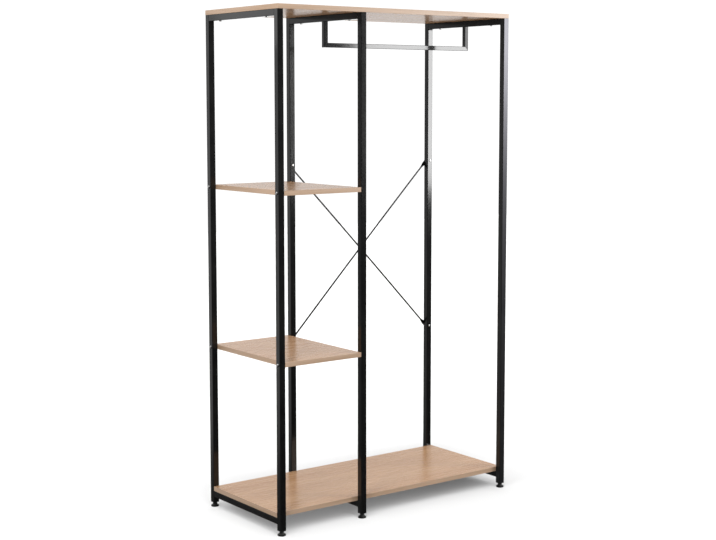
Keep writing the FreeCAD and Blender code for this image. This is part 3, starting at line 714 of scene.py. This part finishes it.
bpy.ops.object.mode_set(mode="EDIT")
for level in (0.0, nut_height):
    bpy.ops.mesh.select_all(action="DESELECT")
    pick_rim(nut, level, NUT_BORE * NUT_RIM_SHARE)
    bpy.ops.mesh.bevel(offset=NUT_SINK, segments=1, affect="EDGES")
bpy.ops.object.mode_set(mode="OBJECT")
nut_rear = Matrix.Rotation(-math.pi / 2, 4, "X")
twins = []
for across, level in brace_ends:
    seat = Matrix.Translation((across, nut_low.y, level))
    twins.append(copy_of(nut, seat @ nut_rear))
bpy.data.objects.remove(nut)
nuts = joined(twins)
finish_piece(nuts, "brace_hex_nuts", "frame", bright_zinc)
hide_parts("brace_nuts")


# The studio's floor and room: a white floor whose faint glow is painted light, weaker near the piece so
# that its shadow shows, and a white room that is brightest overhead and at the back, and dark on the
# camera's side.
FLOOR_HALF = 9.0
FLOOR_DARK = (0.45, 0.45, 0.45, 1.0)
FLOOR_PALE = (0.47, 0.47, 0.47, 1.0)
FLOOR_ROUGHNESS = 0.7
FLOOR_SPECULAR = 0.1
MOTTLE_SCALE = 3.0
GLOW_LEFT = (0.18, 0.18, 0.18, 1.0)
GLOW_RIGHT = (0.09, 0.09, 0.09, 1.0)
GLOW_FAR = (0.35, 0.35, 0.35, 1.0)
GLOW_TURN_BAND = (-0.7, 0.7)
NEAR_WIDTH_SQUARED_BAND = (1.0, 0.36)
NEAR_DEPTH_SQUARED_BAND = (0.45, 0.12)
WHITE = (1.0, 1.0, 1.0, 1.0)
BACK_AIM = (0.3, 0.954)
BACK_BAND = (0.3, 1.0)
CEILING_BAND = (0.4, 0.75)
FLOOR_LINE_BAND = (-0.30, -0.05)
SKIRTING_BAND = (-0.265, -0.225)
RIGHT_BAND = (-0.4, 0.3)
DADO_BAND = (-0.03, 0.04)
CORNICE_BAND = (0.18, 0.3)
DADO_DIMMING = 0.28
CORNICE_DIMMING = 0.2
CEILING_LEVEL = 1.55
BACK_LEVEL = 1.28
BACKDROP_LEVEL = 1.1
SIDE_LEVEL = 0.11
SKIRTING_LEVEL = 0.17
LOW_LEVEL = 0.8
LOW_GLOSSY_LEVEL = 0.02
FIRST_BOUNCES = 2.5

bpy.ops.object.select_all(action="DESELECT")
bpy.ops.mesh.primitive_plane_add(size=2 * FLOOR_HALF, location=(0.0, 0.0, 0.0))
floor = bpy.context.object
floor.name = "studio_floor"
paper = bpy.data.materials.new("white_floor")
sheet = Shade(paper)
spread = sheet.place()
mottle = sheet.noise(spread, MOTTLE_SCALE, 3.0)
across, along = sheet.split(spread)[:2]
near_width = sheet.band(across * across, *NEAR_WIDTH_SQUARED_BAND)
near_depth = sheet.band(along * along, *NEAR_DEPTH_SQUARED_BAND)
# Painted light: the floor's emission lightens the shadow under the piece, more on the left than on the
# right, and glows brighter further off so that the far floor stays white.
near_glow = sheet.mix(sheet.band(across, *GLOW_TURN_BAND), GLOW_LEFT, GLOW_RIGHT)
sheet.surface(
    Base_Color=sheet.mix(mottle, FLOOR_DARK, FLOOR_PALE),
    Roughness=FLOOR_ROUGHNESS,
    Specular_IOR_Level=FLOOR_SPECULAR,
    Emission_Color=sheet.mix(near_width * near_depth, GLOW_FAR, near_glow),
    Emission_Strength=1.0,
)
paper.cycles.emission_sampling = "NONE"
dress(floor, paper)
floor.visible_glossy = False
floor.visible_diffuse = False

world = bpy.data.worlds.new("white_studio")
bpy.context.scene.world = world
world.cycles.sampling_method = "NONE"
room = Shade(world)
ahead_x, ahead_y, ahead_z = room.split(room.node("ShaderNodeTexCoord")[0])
ray = {wire.socket.name: wire for wire in room.node("ShaderNodeLightPath")}
camera_ray = ray["Is Camera Ray"]
diffuse_ray = ray["Is Diffuse Ray"]
behind = room.band(ahead_x * BACK_AIM[0] + ahead_y * BACK_AIM[1], *BACK_BAND)
overhead = room.band(ahead_z, *CEILING_BAND)
above_floor = room.band(ahead_z, *FLOOR_LINE_BAND)
above_skirting = room.band(ahead_z, *SKIRTING_BAND)
dado = DADO_DIMMING * room.band(ahead_z, *DADO_BAND)
cornice = CORNICE_DIMMING * room.band(ahead_z, *CORNICE_BAND)
dimming = room.band(ahead_x, *RIGHT_BAND) * (dado + cornice)
first_bounce = diffuse_ray * (ray["Ray Depth"] < FIRST_BOUNCES)
low_wall = LOW_LEVEL * first_bounce + LOW_GLOSSY_LEVEL * (1.0 - diffuse_ray)
lit_wall = above_floor * diffuse_ray + above_skirting * (1.0 - diffuse_ray)
skirting = SKIRTING_LEVEL * (1.0 - lit_wall) * (1.0 - diffuse_ray)
back_wall = BACK_LEVEL * lit_wall * (1.0 - dimming) + skirting
wall = low_wall * (1.0 - above_floor) + SIDE_LEVEL * above_floor + back_wall * behind
lit_room = wall * (1.0 - overhead) + CEILING_LEVEL * overhead
backdrop = room.tree.nodes["Background"]
room.feed(backdrop.inputs["Color"], WHITE)
room.feed(backdrop.inputs["Strength"], lit_room * (1.0 - camera_ray) + BACKDROP_LEVEL * camera_ray)


# The studio's lamps: a softbox at the front right, which shows in the front faces of the right-hand posts
# and of the rail, a fill from the left, a small lamp at the rear left, a lamp for the dull right front post
# alone, and a broad window light from the left front for the floor alone.
SOFTBOX_SIZE = (1.52, 1.5)
SOFTBOX_PLACE = (2.61, -2.5, 1.62)
SOFTBOX_WATTS = 103.4
FILL_SIZE = (0.8, 0.8)
FILL_PLACE = (-2.1, -1.15, 1.75)
FILL_AIM = (0.0, 0.0, 1.4)
FILL_WATTS = 34.0
REAR_LAMP_SIZE = (0.75, 0.3)
REAR_LAMP_PLACE = (-1.32, 1.125, 1.81)
REAR_LAMP_WATTS = 0.45
POST_LAMP_SIZE = (0.9, 0.7)
POST_LAMP_PLACE = (2.61, -2.5, 1.9)
POST_LAMP_WATTS = 144.0
POST_LAMP_COLOUR = (0.99, 0.98, 1.07)
WINDOW_STRENGTH = 6.3
WINDOW_SPREAD = math.radians(90.0)
WINDOW_TURN = math.radians(-36.0)
WINDOW_HEIGHT = math.radians(30.0)


def studio_lamp(name, kind, strength):
    lamp = bpy.data.objects.new(name, bpy.data.lights.new(name, kind))
    bpy.context.collection.objects.link(lamp)
    lamp.data.energy = strength
    lamp.visible_camera = False
    return lamp


def panel_lamp(name, size, watts):
    lamp = studio_lamp(name, "AREA", watts)
    lamp.data.shape = "RECTANGLE"
    lamp.data.size, lamp.data.size_y = size
    return lamp


def sort_light(lamp, name, pieces, state):
    receivers = bpy.data.collections.new(name)
    for piece in pieces:
        receivers.objects.link(piece)
    for link in receivers.collection_objects:
        link.light_linking.link_state = state
    lamp.light_linking.receiver_collection = receivers


dull_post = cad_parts["right_front_post"]
face_rear = Matrix.Rotation(math.pi / 2, 4, "X")

softbox = panel_lamp("front_right_softbox", SOFTBOX_SIZE, SOFTBOX_WATTS)
softbox.matrix_world = Matrix.Translation(SOFTBOX_PLACE) @ face_rear
sort_light(softbox, "softbox_misses", (floor, dull_post), "EXCLUDE")

fill = panel_lamp("left_fill", FILL_SIZE, FILL_WATTS)
fill.location = FILL_PLACE
fill.rotation_euler = (Vector(FILL_AIM) - Vector(FILL_PLACE)).to_track_quat("-Z", "Y").to_euler()
fill.visible_glossy = False
sort_light(fill, "left_fill_misses", (floor,), "EXCLUDE")

rear_lamp = panel_lamp("rear_left_lamp", REAR_LAMP_SIZE, REAR_LAMP_WATTS)
face_right = Matrix.Rotation(math.pi / 2, 4, "Z") @ Matrix.Rotation(-math.pi / 2, 4, "X")
rear_lamp.matrix_world = Matrix.Translation(REAR_LAMP_PLACE) @ face_right

post_lamp = panel_lamp("right_post_lamp", POST_LAMP_SIZE, POST_LAMP_WATTS)
post_lamp.data.color = POST_LAMP_COLOUR
post_lamp.matrix_world = Matrix.Translation(POST_LAMP_PLACE) @ face_rear
sort_light(post_lamp, "right_post_lamp_lights", (dull_post,), "INCLUDE")

window = studio_lamp("left_front_window", "SUN", WINDOW_STRENGTH)
window.data.angle = WINDOW_SPREAD
window_tilt = Matrix.Rotation(math.pi / 2 - WINDOW_HEIGHT, 4, "X")
window.matrix_world = Matrix.Rotation(WINDOW_TURN, 4, "Z") @ window_tilt
sort_light(window, "left_front_window_lights", (floor,), "INCLUDE")


# The camera stands at the front left, a little above half height, and looks slightly down. It has the
# photograph's place, turn and lens, worked out from the posts and the boards.
CAMERA_PLACE = (-2.9964, -3.9515, 1.4345)
CAMERA_TURN = math.radians(-36.354)
CAMERA_TILT = math.radians(90.0 - 5.769)
CAMERA_ROLL = math.radians(-0.1012)
CAMERA_SENSOR = 36.0
CAMERA_LENS = 70.15
CAMERA_SHIFT = (0.02454, -0.04097)

camera = bpy.data.objects.new("photo_camera", bpy.data.cameras.new("photo_camera"))
bpy.context.collection.objects.link(camera)
camera.data.sensor_width = CAMERA_SENSOR
camera.data.lens = CAMERA_LENS
camera.data.shift_x, camera.data.shift_y = CAMERA_SHIFT
camera.matrix_world = (
    Matrix.Translation(CAMERA_PLACE)
    @ Matrix.Rotation(CAMERA_TURN, 4, "Z")
    @ Matrix.Rotation(CAMERA_TILT, 4, "X")
    @ Matrix.Rotation(CAMERA_ROLL, 4, "Z")
)
bpy.context.scene.camera = camera
bpy.context.scene.view_settings.view_transform = "Standard"
